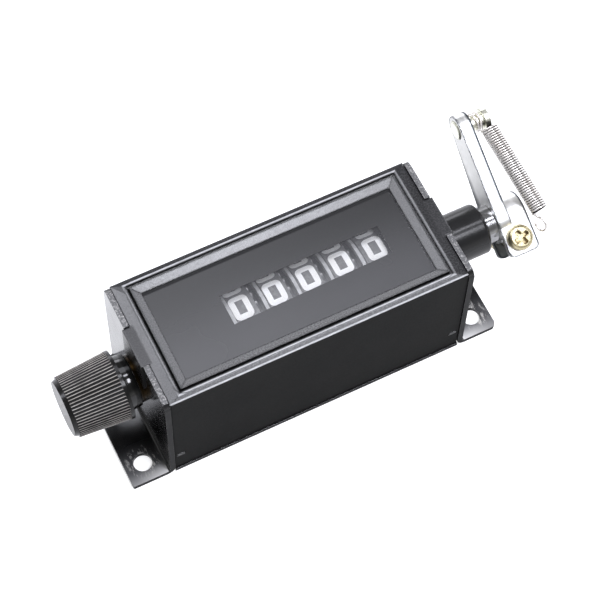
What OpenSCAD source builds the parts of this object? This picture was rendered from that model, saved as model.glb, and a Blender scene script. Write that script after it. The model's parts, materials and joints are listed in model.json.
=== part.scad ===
// Five-digit ratchet counter on a pair of footed end brackets.
// Millimetres, +Z up. The origin is the centre of the four foot holes, on the underside of the feet.
// The shaft lies along X: reset knob at -X, drive lever at +X. The window looks up.

/* [Body] */
// Length of the cover, between the two end brackets
cover_l = 66; // [64:0.5:80]
// Width of the end brackets and feet
body_w = 29.6; // [28.8:0.2:36]
// Height of the bracket walls above the underside of the feet
body_h = 32.4; // [31.8:0.2:40]
// Thickness of the bracket sheet
sheet_t = 1.2; // [0.8:0.1:1.6]
// Inside radius of the bend between wall and foot
bend_r = 0.8; // [0.4:0.1:1.4]
// Radius of the top corners of the bracket walls
wall_corner_r = 2; // [0.5:0.25:4]
// Thickness of the base plate
base_t = 1; // [0.6:0.1:1.6]
// How far the base plate's long edges stand back from the bracket edges
base_setback = 0; // [0:0.05:0.6]
// Wall thickness of the moulded cover
cover_t = 1.6; // [1:0.1:2]
// How far the cover's long faces stand back from the bracket edges
cover_setback = 0.3; // [0.15:0.05:0.6]
// Assembly gap between the cover and the metal around it
cover_gap = 0.1; // [0.05:0.05:0.25]

/* [Feet] */
// Length of a foot beyond the outer face of its wall
foot_l = 8.4; // [7.6:0.1:14]
// Radius of the foot's rounded corner
foot_corner_r = 1.25; // [1:0.25:2.5]
// Radius of the foot's nearly square corner
foot_square_r = 0.4; // [0.2:0.05:0.8]
// Diameter of a fixing hole
foot_hole_d = 4; // [3:0.1:4.5]
// Distance of a hole's middle from the outer face of its wall
hole_out = 4.4; // [3.6:0.1:5.6]
// Distance of a hole's middle from the foot's side edge
hole_side = 4.3; // [3.4:0.1:6]

/* [Window] */
// Distance of the raised frame around the window panel from the cover's ends
frame_end = 3.3; // [2.6:0.1:5]
// Distance of the raised frame from the cover's long faces
frame_side = 2.15; // [1.65:0.05:3]
// Width of the frame, which slopes down to the panel inside a narrow crest
frame_b = 1.9; // [1.5:0.1:2.4]
// Width of the frame's crest
crest_b = 0.15; // [0.1:0.05:0.4]
// Height of the crest above the bracket walls
frame_rise = 0.3; // [0.2:0.1:1.2]
// Width of the groove round the frame
channel_b = 0.5; // [0.3:0.05:0.6]
// Depth of the groove below the top of the bracket walls
channel_d = 0.4; // [0.2:0.05:0.8]
// Height of the low ridge that runs round the groove
ridge_rise = 0.2; // [0.1:0.05:0.4]
// Width of the ridge
ridge_b = 0.55; // [0.4:0.05:0.7]
// Radius of the ridge's corners
ridge_corner_r = 2; // [1:0.25:3]
// Fall of the cover's shoulders from the ridge to the outer edges
shoulder_drop = 0.35; // [0.1:0.05:0.6]
// Depth of the clear panel below the frame's crest
panel_recess = 0.9; // [0.4:0.1:1.2]
// Thickness of the clear panel
panel_t = 1.2; // [0.8:0.1:1.5]
// Thickness of the printed mask under the panel
mask_t = 0.2; // [0.1:0.05:0.4]
// Width of the ledge that carries the mask and panel
ledge_b = 2; // [1:0.1:2.4]
// Thickness of the ledge
ledge_t = 1.2; // [0.8:0.1:1.5]
// Length of the digit window in the mask
window_l = 35.2; // [34:0.1:37]
// Width of the digit window
window_w = 6.4; // [5:0.1:8]
// Offset of the window's middle from the middle wheel
window_shift = -0.8; // [-1.2:0.1:0]

/* [Shafts and bushes] */
// Diameter of the reset shaft, which carries the number wheels
reset_d = 5; // [4.6:0.1:5.4]
// Diameter of the reset shaft's tip in the drive shaft
tip_d = 4; // [3.2:0.1:4.2]
// Diameter of the drive shaft
drive_d = 6; // [5.8:0.1:6.4]
// Radial running clearance of a shaft in its bore
run_fit = 0.05; // [0.02:0.01:0.08]
// Diameter of the bush necks that sit in the wall slots
neck_d = 9.2; // [8.6:0.1:9.8]
// Diameter of the bush flanges inside the cover
bush_flange_d = 11; // [10.6:0.1:12]
// Thickness of the bush flanges
bush_flange_t = 1.3; // [0.8:0.1:1.4]
// Diameter of the boss outside the lever wall
boss_d = 11; // [10.6:0.1:12]
// Length of the boss
boss_l = 10.6; // [9.4:0.1:14]
// Rounding of the boss's outer edge
boss_edge_r = 0.8; // [0.3:0.1:1.5]
// Diameter of the brass flange outside the knob wall
brass_flange_d = 10.4; // [10.2:0.1:11.4]
// Thickness of the brass flange
brass_flange_t = 1; // [0.6:0.1:1.6]

/* [Knob] */
// Diameter of the rim at the wall end
knob_d = 14.9; // [13.6:0.1:18]
// Diameter across the flutes at the free end
knob_end_d = 13.4; // [12.4:0.1:13.6]
// Length of the knob
knob_l = 12.6; // [11:0.1:18]
// Number of flutes
flute_count = 60; // [36:2:60]
// Depth of the flutes
flute_depth = 0.3; // [0.15:0.05:0.5]
// Width of a flute
flute_w = 1.1; // [0.6:0.05:1.1]
// Length of the smooth rim at the wall end
knob_rim_l = 0.8; // [0.4:0.1:1.5]
// Length of the smooth chamfer at the free end
knob_chamfer = 0.9; // [0.3:0.1:1.2]
// Diameter of the polished collar behind the knob
collar_d = 11.8; // [10.6:0.1:12.6]
// Length of the collar
collar_l = 2.5; // [1.5:0.1:4]
// Depth of the knob's bore
knob_bore_l = 9; // [6:0.5:10]

/* [Number wheels] */
// Radius of the digit rim
wheel_r = 10; // [9.4:0.1:10.4]
// Gap between the digit rims and the cover's ledge above them
wheel_gap = 0.5; // [0.3:0.1:1.5]
// Distance from one wheel to the next
wheel_pitch = 7.33; // [7.25:0.01:7.6]
// Width of the digit rim
rim_w = 5.8; // [5.6:0.05:5.85]
// Thickness of the digit rim
rim_t = 1.3; // [0.8:0.1:1.4]
// Width of the plain band at the rim's left edge
plain_band = 0.7; // [0.4:0.1:1]
// Thickness of the web between hub and rim
web_t = 1.6; // [1:0.1:2.4]
// Radius of the hub
hub_r = 4.2; // [3.8:0.1:4.8]
// Distance from the units wheel to the cover's inner end face
drive_zone = 12.2; // [12.2:0.1:14]

/* [Carry gears] */
// Gear module of the carry teeth
gear_m = 0.8; // [0.78:0.01:0.82]
// Tooth thickness at the pitch circle
tooth_t = 0.9; // [0.7:0.05:1]
// Height of a tooth above the pitch circle
tooth_up = 0.55; // [0.4:0.05:0.6]
// Depth of a tooth below the pitch circle
tooth_down = 0.95; // [0.9:0.05:1.1]
// Width of a wheel's tooth ring
ring_w = 0.8; // [0.6:0.05:0.85]
// Width of a wheel's carry disc
carry_w = 0.6; // [0.4:0.05:0.65]
// Diameter of the pinion shaft
pinion_shaft_d = 2; // [1.6:0.1:2.1]
// Direction of the pinion shaft from the main shaft, above the +Y axis
pinion_dir = -60; // [-66:1:-56]

/* [Ratchet drive] */
// Outer radius of the ratchet
ratchet_r = 6.6; // [6.4:0.1:6.7]
// Root radius of the ratchet
ratchet_root_r = 5.4; // [5.2:0.1:5.6]
// Thickness of the ratchet
ratchet_t = 1.6; // [1.2:0.1:1.7]
// Radius of the drive plate
plate_r = 9.4; // [9.3:0.1:9.8]
// Thickness of the drive plate
plate_t = 1.2; // [0.8:0.1:1.3]
// Radius at which the pawl pivots
pawl_pivot_r = 8.4; // [8.2:0.1:8.5]
// Diameter of the pawl's pin
pawl_pin_d = 1.4; // [1:0.1:1.6]
// Diameter of the stop pin
stop_pin_d = 1.6; // [1.2:0.1:1.8]
// Distance of the stop pin from the main shaft
stop_pin_r = 8.7; // [8.5:0.1:8.8]
// Wire diameter of the return spring
return_wire_d = 0.7; // [0.5:0.05:0.75]
// Mean coil diameter of the return spring
return_coil_d = 8.2; // [8:0.1:8.6]
// Thickness of the click spring
click_t = 0.4; // [0.2:0.05:0.6]

/* [Lever] */
// Direction of the arm above the +Y axis, at rest
lever_angle = 28.7; // [15:0.1:45]
// Thickness of the lever's arm
lever_t = 2.8; // [2:0.1:3.2]
// Thickness of the strip that is rolled round the shaft
strip_t = 1.5; // [1:0.1:2]
// Distance from the boss to the lever
lever_gap = 2.45; // [1:0.05:4]
// Length of the rolled clamp along the shaft
clamp_l = 6.8; // [6.6:0.1:9]
// Reach of the clamp's ears in front of the shaft
ear_l = 8.4; // [7.8:0.1:12]
// Rounding of the ears' corners
ear_corner_r = 1.2; // [0.5:0.1:2]
// Distance from the shaft to the spring stud along the arm
arm_l = 20.85; // [18:0.05:30]
// Radius of the arm's round end
arm_end_r = 3.1; // [2.8:0.1:4.5]
// Height of the arm's upper edge above the shaft at the stud
arm_rise = 5.1; // [4.4:0.1:6]
// Radius of the arm's eye beyond the clamp's
arm_eye_b = 0.3; // [0.2:0.05:0.5]
// Diameter of the spacer washer beside the boss
washer_d = 8.4; // [7.6:0.1:10.5]
// Thread diameter of the clamp screw
screw_d = 3; // [2.5:0.1:3.2]
// Head diameter of the clamp screw
screw_head_d = 5.5; // [5:0.1:6]
// Head height of the clamp screw
screw_head_h = 1.9; // [1.2:0.1:2.4]
// Distance of the clamp screw from the shaft
screw_out = 4.8; // [4.8:0.05:5.4]
// Width across the flats of the nut
nut_af = 5.5; // [5:0.1:6]
// Thickness of the nut
nut_t = 2.4; // [1.6:0.1:3]

/* [Spring link] */
// Diameter of the stud's neck
stud_neck_d = 3.2; // [2.6:0.1:3.4]
// Length of the stud's neck outside the arm
stud_neck_l = 3.2; // [2.8:0.1:5]
// Diameter of the stud's head
stud_head_d = 4.8; // [4.2:0.1:5.2]
// Thickness of the stud's head
stud_head_t = 1.2; // [0.8:0.1:1.6]
// Wire diameter of the spring
wire_d = 0.5; // [0.4:0.05:0.55]
// Mean coil diameter of the spring
coil_d = 3.35; // [3.2:0.05:3.5]
// Number of coils
coil_turns = 20; // [12:1:20]
// Length of the coiled body
spring_l = 20.1; // [20:0.1:24]

/* [Hidden] */

$fn = 64;
// Overshoot of a cutting solid past the face that it cuts
over = 1;
// Gap between flat faces that run past each other
side_gap = 0.15;
// Gap between a press-fitted pin and its hole
press_gap = 0.01;

// Body faces and foot holes, counted from the middle of the part
wall_in = cover_l / 2 + cover_gap;
wall_out = wall_in + sheet_t;
foot_x = wall_out + foot_l;
half_w = body_w / 2;
cover_y = half_w - cover_setback;
inner_x = cover_l / 2 - cover_t;
inner_y = cover_y - cover_t;
slot_w = neck_d + 2 * cover_gap;
cover_bottom = base_t + cover_gap;
hole_x = wall_out + hole_out;
hole_y = half_w - hole_side;

// Window stack from the frame's top down, and the shaft that the wheels hang on below it
frame_l = cover_l - 2 * frame_end;
frame_w = 2 * (cover_y - frame_side);
frame_top = body_h + frame_rise;
panel_top = frame_top - panel_recess;
mask_top = panel_top - panel_t;
ledge_top = mask_top - mask_t;
cavity_top = ledge_top - ledge_t;
shaft_z = cavity_top - wheel_gap - wheel_r;
panel_l = frame_l - 2 * frame_b;
panel_w = frame_w - 2 * frame_b;
channel_l = frame_l + 2 * channel_b;
channel_w = frame_w + 2 * channel_b;
ridge_l = channel_l + 2 * ridge_b;
ridge_w = channel_w + 2 * ridge_b;

// Base plate: end flanges against the walls and snap tabs inside the cover
flange_h = 7.5;
flange_w = 16;
flange_gap = 0.3;
tab_w = 2.4;
tab_t = 1;
tab_x = cover_l / 2 - 1.4;
snap_z = 6.8;
snap_l = 1.6;
snap_h = 0.9;
snap_proud = 0.1;

// Tongues of the cover that close the wall slots
tongue_w = neck_d - cover_gap;
tongue_proud = 0.4;
tongue_drop = 0.25;

// Number wheels and carry gears: ten digits, two ring teeth for each
digits = 10;
ring_teeth = 2 * digits;
pinion_teeth = 8;
units_x = inner_x - drive_zone;
rim_right = 2.5;
rim_left = rim_w - rim_right;
wheel_left = rim_left + carry_w;
wheel_right = rim_right + ring_w;
groove_w = 0.25;
groove_d = 0.3;
tooth_sunk = 0.4;
ring_pitch_r = gear_m * ring_teeth / 2;
pinion_pitch_r = gear_m * pinion_teeth / 2;
ring_root_r = ring_pitch_r - tooth_down;
sleeve_t = 1;
sleeve_in_r = ring_root_r - sleeve_t;
carry_r = ring_root_r - side_gap;
pinion_w = wheel_pitch - rim_w - 2 * side_gap;
centre_distance = ring_pitch_r + pinion_pitch_r;
pinion_y = centre_distance * cos(pinion_dir);
pinion_z = shaft_z + centre_distance * sin(pinion_dir);
// Carry teeth that have just passed the pinion, counted in ring teeth
carry_steps = [2, 3];

// Drive side, in order along the shaft
ratchet_x = units_x + wheel_right;
ratchet_end = ratchet_x + side_gap + ratchet_t;
plate_x = ratchet_end + 2 * side_gap;
plate_end = plate_x + plate_t;
tip_l = 3;
tip_end = plate_end + tip_l;
bush_in = inner_x - cover_gap - bush_flange_t;
boss_end = wall_out + boss_l;
lever_x = boss_end + lever_gap;
clamp_end = lever_x + clamp_l;
drive_proud = 0.4;
drive_end = clamp_end + drive_proud;

// Knob side, as distances from the middle
collar_x = wall_out + brass_flange_t + side_gap;
knob_x = collar_x + collar_l;

// Ratchet, pawl and stop, as directions and places across the shaft
stroke = 360 / digits;
pawl_tooth = 88.5;
pawl_back = 3;
pawl_bite = 0.35;
pawl_rise = 0.45;
pawl_hub_r = 1.4;
pawl_pivot_dir = pawl_tooth + 36;
pawl_pivot = polar(pawl_pivot_r, pawl_pivot_dir);
post_dir = pawl_tooth - 14;
post_r = 8.5;
post_d = 1.2;
post = polar(post_r, post_dir);
stop_dir = -34;
stop_margin = 7.5;
stop_place = polar(stop_pin_r, stop_dir);

// Lugs of the base plate, which carry the pinion shaft and the stop pin
lug_t = 1.2;
lug_w = 7;
lug_gap = 0.8;
lug_x = bush_in - lug_gap - lug_t;
lug_h = shaft_z + stop_place[1] + stop_pin_d / 2 + 1.1;
lug_relief_r = return_coil_d / 2 + 2.5;
pinion_proud = 0.3;

// Click spring on the base plate, below the ratchet
click_x = ratchet_x + side_gap + ratchet_t / 2;
click_w = ratchet_t - 2 * side_gap;
click_tip = [0.5, -ratchet_root_r - 0.4];
click_foot_y = 3.2;
click_foot_l = 5;
click_foot_w = 3.4;
click_rivet_y = 5.6;
click_rivet_d = 1.6;
click_head_d = 2.6;
click_head_h = 0.6;

// Clamp and arm of the lever, in the lever's own plane
clamp_r = drive_d / 2 + strip_t;
arm_drop = arm_rise - arm_end_r;
arm_eye_r = clamp_r + arm_eye_b;
tuck = 0.02;
screw_x = lever_x + clamp_l / 2 - 0.25;
screw_proud = 0.6;
stud_x = lever_x + lever_t;
rivet_d = 4.4;
rivet_h = 0.3;

// Link spring: middle of its hook, the ends of its axis and its free loop, in the lever's own plane
hook_gap = 0.2;
hook_x = stud_x + stud_neck_l - wire_d - 0.3;
hook_r = stud_neck_d / 2 + wire_d / 2 + hook_gap;
link_from = [hook_x + 0.9, arm_l - 2.16, arm_drop + 2.2];
link_skew = 7.5;
link_lift = 8.6;
link_axis = [cos(link_lift) * sin(link_skew), -cos(link_lift) * cos(link_skew), sin(link_lift)];
link_to = link_from + spring_l * link_axis;
link_side = unit([1, 0, 0] - link_axis[0] * link_axis);
link_up = cross(link_axis, link_side);
eye_r = 1.5;
eye_turn = 70;
eye_side = cos(eye_turn) * link_side + sin(eye_turn) * link_up;
eye_middle = link_to + 2.6 * link_axis - 1.45 * link_side;
curl_rings = 8;
tube_sides = 6;

function unit(v) = v / norm(v);
function polar(r, a) = [r * cos(a), r * sin(a)];
// Outline of (half size, height), on both sides of the middle, from levels of (length, width, height)
function outline(levels, side) = concat([for (v = levels) [v[side] / 2, v[2]]],
    [for (i = [len(levels) - 1 : -1 : 0]) [-levels[i][side] / 2, levels[i][2]]]);
function wheel_x(i) = units_x - (5 - i) * wheel_pitch;
function ring_dir(k) = pinion_dir - k * 360 / ring_teeth;

// A point on the cubic curve from a to b that leaves along da and arrives along db
function curve_point(a, da, b, db, s) =
    let (q = 1 - s)
    q * q * q * a + 3 * q * q * s * (a + da) + 3 * q * s * s * (b - db) + s * s * s * b;
function curve(a, da, b, db, steps) = [for (i = [1 : steps - 1]) curve_point(a, da, b, db, i / steps)];

// Link spring: a hook round the stud, the coils, and an open loop at the free end
function hook_point(a) =
    [hook_x, arm_l + hook_r * cos(a), arm_drop + hook_r * sin(a)];
function coil_point(turn) =
    link_from + spring_l * turn / coil_turns * link_axis
    + coil_d / 2 * (-cos(360 * turn) * link_side + sin(360 * turn) * link_up);
function eye_point(a) = eye_middle + eye_r * (cos(a) * eye_side + sin(a) * link_axis);
hook_from = 190;
hook_to = 440;
hook_steps = 14;
eye_from = -60;
eye_to = 215;
eye_steps = 12;
bend_steps = 5;
hook_leave = [0, -sin(hook_to), cos(hook_to)];
eye_enter = -sin(eye_from) * eye_side + cos(eye_from) * link_axis;
link_path = concat(
    [for (i = [0 : hook_steps]) hook_point(hook_from + (hook_to - hook_from) * i / hook_steps)],
    curve(hook_point(hook_to), 1.1 * hook_leave, coil_point(0), 1.1 * link_up, bend_steps),
    [for (i = [0 : curl_rings * coil_turns]) coil_point(i / curl_rings)],
    curve(coil_point(coil_turns), 0.7 * link_up, eye_point(eye_from), 0.7 * eye_enter, bend_steps),
    [for (i = [0 : eye_steps]) eye_point(eye_from + (eye_to - eye_from) * i / eye_steps)]);

// Return spring: coils round the drive shaft with two straight legs
return_turns = 2.75;
return_x = plate_end + side_gap + return_wire_d / 2;
return_step = return_wire_d + 0.45;
return_leg = 4.2;
return_dir = 340;
function return_point(turn) = concat([return_x + return_step * turn],
    polar(return_coil_d / 2, return_dir + 360 * turn));
function return_tangent(turn) = concat([0], polar(1, return_dir + 90 + 360 * turn));
return_path = concat(
    [return_point(0) - return_leg * return_tangent(0)],
    [for (i = [0 : curl_rings * return_turns]) return_point(i / curl_rings)],
    [return_point(return_turns) + return_leg * return_tangent(return_turns)]);

// Least gap of a wound tube to itself, on points more than half a curl apart
function tube_gap(path, d) =
    min([for (i = [0 : len(path) - 6]) for (j = [i + 5 : len(path) - 1]) norm(path[j] - path[i])]) - d;

// A tube of even sides along a path, as one solid
module tube(path, d) {
    n = len(path);
    tangent = [for (i = [0 : n - 1]) unit(path[min(i + 1, n - 1)] - path[max(i - 1, 0)])];
    first = unit(cross(tangent[0], [0.3, 0.5, 0.8]));
    normal = [for (i = 0, u = first; i < n; i = i + 1,
        u = i < n ? unit(u - (u * tangent[i]) * tangent[i]) : u) u];
    points = [for (i = [0 : n - 1]) for (k = [0 : tube_sides - 1])
        let (a = 360 * k / tube_sides)
        path[i] + d / 2 * (cos(a) * normal[i] + sin(a) * cross(tangent[i], normal[i]))];
    sides = [for (i = [0 : n - 2]) for (k = [0 : tube_sides - 1])
        let (a = i * tube_sides + k, b = i * tube_sides + (k + 1) % tube_sides)
        each [[a, a + tube_sides, b], [b, a + tube_sides, b + tube_sides]]];
    last = (n - 1) * tube_sides;
    caps = [for (k = [1 : tube_sides - 2])
        each [[0, k, k + 1], [last, last + k + 1, last + k]]];
    polyhedron(points, concat(sides, caps));
}

// Draws a plane shape of (Y, Z) round the main shaft and runs it from x0 to x1
module across(x0, x1) {
    translate([x0, 0, shaft_z]) rotate([90, 0, 90]) linear_extrude(x1 - x0) children();
}

// A plain round bar or hole along X, at a place across the shaft
module bar(x0, x1, d, y = 0, z = shaft_z) {
    translate([x0, y, z]) rotate([0, 90, 0]) cylinder(d = d, h = x1 - x0);
}

// A turned solid round the main shaft, from points of (radius, X)
module turned(points) {
    translate([0, 0, shaft_z]) rotate([0, 90, 0]) rotate_extrude() polygon(points);
}

// The lever's own plane: Y along the arm, Z square to it
module lever_frame() {
    translate([0, 0, shaft_z]) rotate([lever_angle, 0, 0]) children();
}

module box(from, to) {
    translate(from) cube(to - from);
}

// A centred solid with flat faces between levels of (length, width, height)
module levelled(levels) {
    intersection() {
        rotate([90, 0, 0]) linear_extrude(2 * body_w, center = true) polygon(outline(levels, 0));
        rotate([90, 0, 90]) linear_extrude(2 * cover_l, center = true) polygon(outline(levels, 1));
    }
}

module rounded_rect(l, w, r) {
    square([l, w - 2 * r], center = true);
    square([l - 2 * r, w], center = true);
    for (x = [-1, 1], y = [-1, 1]) translate([x * (l / 2 - r), y * (w / 2 - r)]) circle(r);
}

// A pressed L of wall and foot, drawn for the +X end
module end_bracket() {
    bend_z = sheet_t + bend_r;
    bend_x = wall_out + bend_r;
    color("#26272a") difference() {
        union() {
            translate([wall_in, 0, 0]) rotate([90, 0, 90]) linear_extrude(sheet_t) {
                translate([-half_w, bend_z]) square([body_w, body_h - wall_corner_r - bend_z]);
                translate([wall_corner_r - half_w, bend_z])
                    square([body_w - 2 * wall_corner_r, body_h - bend_z]);
                for (s = [-1, 1]) translate([s * (half_w - wall_corner_r), body_h - wall_corner_r])
                    circle(wall_corner_r);
            }
            translate([bend_x, half_w, bend_z]) rotate([90, 0, 0]) linear_extrude(body_w)
                intersection() {
                    difference() {
                        circle(bend_z);
                        circle(bend_r);
                    }
                    translate([-bend_z, -bend_z]) square(bend_z);
                }
            linear_extrude(sheet_t) {
                translate([bend_x, -half_w]) square([foot_l - bend_r - foot_corner_r, body_w]);
                translate([bend_x, foot_corner_r - half_w])
                    square([foot_l - bend_r, body_w - foot_corner_r - foot_square_r]);
                translate([bend_x, half_w - 2 * foot_square_r])
                    square([foot_l - bend_r - foot_square_r, 2 * foot_square_r]);
                translate([foot_x - foot_corner_r, foot_corner_r - half_w]) circle(foot_corner_r);
                translate([foot_x - foot_square_r, half_w - foot_square_r]) circle(foot_square_r);
            }
        }
        bar(wall_in - over, wall_out + over, slot_w);
        box([wall_in - over, -slot_w / 2, shaft_z], [wall_out + over, slot_w / 2, body_h + over]);
        for (s = [-1, 1]) translate([hole_x, s * hole_y, -over])
            cylinder(d = foot_hole_d, h = sheet_t + 2 * over);
    }
}

// The same pressing, turned end for end
module left_end_bracket() {
    rotate(180) end_bracket();
}

module right_end_bracket() {
    end_bracket();
}

module base_plate() {
    base_y = half_w - base_setback;
    color("#303134") difference() {
        union() {
            box([-wall_in, -base_y, 0], [wall_in, base_y, base_t]);
            for (s = [0, 1]) mirror([s, 0, 0]) {
                box([wall_in - sheet_t, -flange_w / 2, 0], [wall_in, flange_w / 2, flange_h]);
                translate([lug_x, 0, 0]) rotate([90, 0, 90]) linear_extrude(lug_t) difference() {
                    translate([pinion_y - lug_w / 2, 0]) square([lug_w, lug_h]);
                    translate([0, shaft_z]) circle(lug_relief_r);
                }
                for (t = [0, 1]) mirror([0, t, 0]) {
                    box([tab_x - tab_w / 2, inner_y - cover_gap - tab_t, 0],
                        [tab_x + tab_w / 2, inner_y - cover_gap, flange_h]);
                    box([tab_x - snap_l / 2, inner_y - cover_gap, snap_z - snap_h / 2],
                        [tab_x + snap_l / 2, cover_y + snap_proud, snap_z + snap_h / 2]);
                }
            }
        }
        bar(-lug_x - lug_t - over, lug_x + lug_t + over, pinion_shaft_d + 2 * press_gap,
            pinion_y, pinion_z);
        bar(lug_x - over, lug_x + lug_t + over, stop_pin_d + 2 * press_gap,
            stop_place[0], shaft_z + stop_place[1]);
        translate([click_x, click_rivet_y, -over])
            cylinder(d = click_rivet_d + 2 * press_gap, h = base_t + 2 * over);
    }
}

module cover() {
    end_wall_z = flange_h + flange_gap;
    color("#1f2022") difference() {
        union() {
            levelled([[cover_l, 2 * cover_y, cover_bottom], [cover_l, 2 * cover_y, body_h - shoulder_drop],
                [ridge_l, ridge_w, body_h]]);
            translate([0, 0, body_h]) linear_extrude(ridge_rise)
                rounded_rect(ridge_l, ridge_w, ridge_corner_r);
            translate([0, 0, body_h]) linear_extrude(frame_rise)
                square([frame_l + channel_b, frame_w + channel_b], center = true);
            for (s = [0, 1]) mirror([s, 0, 0])
                box([cover_l / 2 - over, -tongue_w / 2, shaft_z],
                    [wall_out + tongue_proud, tongue_w / 2, body_h - tongue_drop]);
        }
        box([-inner_x, -inner_y, -over], [inner_x, inner_y, cavity_top]);
        box([-cover_l / 2 - over, -inner_y, -over], [cover_l / 2 + over, inner_y, end_wall_z]);
        levelled([[panel_l, panel_w, ledge_top], [panel_l, panel_w, panel_top],
            [frame_l - 2 * crest_b, frame_w - 2 * crest_b, frame_top],
            [frame_l - 2 * crest_b, frame_w - 2 * crest_b, frame_top + over]]);
        translate([0, 0, body_h - channel_d]) linear_extrude(channel_d + frame_rise + over) difference() {
            square([channel_l, channel_w], center = true);
            square([frame_l, frame_w], center = true);
        }
        box([ledge_b - panel_l / 2, ledge_b - panel_w / 2, cavity_top - over],
            [panel_l / 2 - ledge_b, panel_w / 2 - ledge_b, ledge_top + over]);
        for (s = [0, 1]) mirror([s, 0, 0]) {
            bar(inner_x - over, cover_l / 2 + over, slot_w);
            box([inner_x - over, -slot_w / 2, 0], [cover_l / 2 + over, slot_w / 2, shaft_z]);
            bar(cover_l / 2, wall_out + 2 * over, boss_d + 2 * cover_gap);
            for (t = [0, 1]) mirror([0, t, 0])
                box([tab_x - snap_l / 2 - cover_gap, inner_y - over, snap_z - snap_h / 2 - cover_gap],
                    [tab_x + snap_l / 2 + cover_gap, cover_y + over, snap_z + snap_h / 2 + cover_gap]);
        }
    }
}

// Clear panel and the dark mask below it share the recess in the frame
module recess_slab(z0, z1) {
    fit = cover_gap / 2;
    box([fit - panel_l / 2, fit - panel_w / 2, z0], [panel_l / 2 - fit, panel_w / 2 - fit, z1]);
}

module window_panel() {
    color("#9fb4bf", 0.35) recess_slab(mask_top, panel_top);
}

module dial_mask() {
    middle = wheel_x(3) + window_shift;
    color("#4a4b4f") difference() {
        recess_slab(ledge_top, mask_top);
        box([middle - window_l / 2, -window_w / 2, ledge_top - over],
            [middle + window_l / 2, window_w / 2, mask_top + over]);
    }
}

module knob_bush() {
    bore_r = reset_d / 2 + run_fit;
    color("#b08a3c") mirror([1, 0, 0]) turned([
        [bore_r, bush_in], [bush_flange_d / 2, bush_in], [bush_flange_d / 2, bush_in + bush_flange_t],
        [neck_d / 2, bush_in + bush_flange_t], [neck_d / 2, wall_out], [brass_flange_d / 2, wall_out],
        [brass_flange_d / 2, wall_out + brass_flange_t], [bore_r, wall_out + brass_flange_t]]);
}

module drive_bush() {
    bore_r = drive_d / 2 + run_fit;
    edge = [for (a = [0 : 15 : 90])
        [boss_d / 2 - boss_edge_r + boss_edge_r * cos(a), boss_end - boss_edge_r + boss_edge_r * sin(a)]];
    color("#2a2b2e") turned(concat(
        [[bore_r, bush_in], [bush_flange_d / 2, bush_in], [bush_flange_d / 2, bush_in + bush_flange_t],
            [neck_d / 2, bush_in + bush_flange_t], [neck_d / 2, wall_out], [boss_d / 2, wall_out]],
        edge, [[bore_r, boss_end]]));
}

module reset_shaft() {
    knob_end = -knob_x - knob_bore_l;
    tip_x = tip_end - side_gap;
    color("#b9bcc0") turned([[0, knob_end], [reset_d / 2, knob_end], [reset_d / 2, ratchet_end],
        [tip_d / 2, ratchet_end], [tip_d / 2, tip_x], [0, tip_x]]);
}

module spacer_sleeve() {
    from = side_gap - bush_in;
    to = wheel_x(1) - wheel_left - side_gap;
    color("#8d9196") difference() {
        bar(from, to, 2 * hub_r);
        bar(from - over, to + over, reset_d + 2 * press_gap);
    }
}

module knob_collar() {
    color("#3a3b3f") difference() {
        bar(-knob_x, -collar_x, collar_d);
        bar(-knob_x - over, -collar_x + over, reset_d + 2 * press_gap);
    }
}

// Tapered knob, drawn along its own axis from the wall end, with flutes cut into the taper
module reset_knob() {
    rim_r = knob_d / 2;
    end_r = knob_end_d / 2;
    ring_r = end_r - 1.5 * flute_depth;
    taper_end = knob_l - knob_chamfer;
    taper_l = taper_end - knob_rim_l;
    taper = atan((rim_r - end_r) / taper_l);
    color("#2b2c2f") translate([-knob_x, 0, shaft_z]) rotate([0, -90, 0]) difference() {
        rotate_extrude() polygon([[0, 0], [rim_r, 0], [rim_r, knob_rim_l], [end_r, taper_end],
            [ring_r, taper_end], [ring_r - flute_depth, knob_l], [0, knob_l]]);
        for (i = [0 : flute_count - 1]) rotate(360 * i / flute_count)
            translate([rim_r - flute_depth, 0, knob_rim_l]) rotate([0, -taper, 0])
                linear_extrude(taper_l + over / 2)
                    polygon([[0, 0], [2 * flute_depth, flute_w], [2 * flute_depth, -flute_w]]);
        translate([0, 0, -over]) cylinder(d = reset_d + 2 * press_gap, h = knob_bore_l + over);
    }
}

// One gear tooth pointing along direction a, from inside its root to its tip
module tooth(pitch_r, a) {
    root_r = pitch_r - tooth_down;
    half = tooth_t / 2;
    rotate(a) polygon([[root_r - tooth_sunk, -half], [pitch_r, -half], [pitch_r + tooth_up, -half / 2],
        [pitch_r + tooth_up, half / 2], [pitch_r, half], [root_r - tooth_sunk, half]]);
}

module ring_sleeve(outer_r) {
    difference() {
        circle(outer_r);
        circle(sleeve_in_r);
    }
}

// Number wheel: digit rim, web and hub, carry disc on its left and tooth ring on its right
module number_wheel(i) {
    x = wheel_x(i);
    band_x = x - rim_left + plain_band;
    color("#3b3d42") difference() {
        union() {
            turned([[wheel_r - rim_t, x - rim_left], [wheel_r, x - rim_left], [wheel_r, band_x],
                [wheel_r - groove_d, band_x], [wheel_r - groove_d, band_x + groove_w],
                [wheel_r, band_x + groove_w], [wheel_r, x + rim_right], [wheel_r - rim_t, x + rim_right]]);
            bar(x - web_t / 2, x + web_t / 2, 2 * wheel_r - rim_t);
            bar(x - wheel_left, x + wheel_right, 2 * hub_r);
            across(x - wheel_left, x) ring_sleeve(carry_r);
            across(x - wheel_left, x - rim_left) for (k = carry_steps) tooth(ring_pitch_r, ring_dir(k));
            if (i < 5) {
                across(x, x + wheel_right) ring_sleeve(ring_root_r);
                across(x + rim_right, x + wheel_right)
                    for (k = [0 : ring_teeth - 1]) tooth(ring_pitch_r, ring_dir(k));
            }
        }
        bar(x - wheel_left - over, x + wheel_right + over, reset_d + 2 * run_fit);
    }
}

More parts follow.
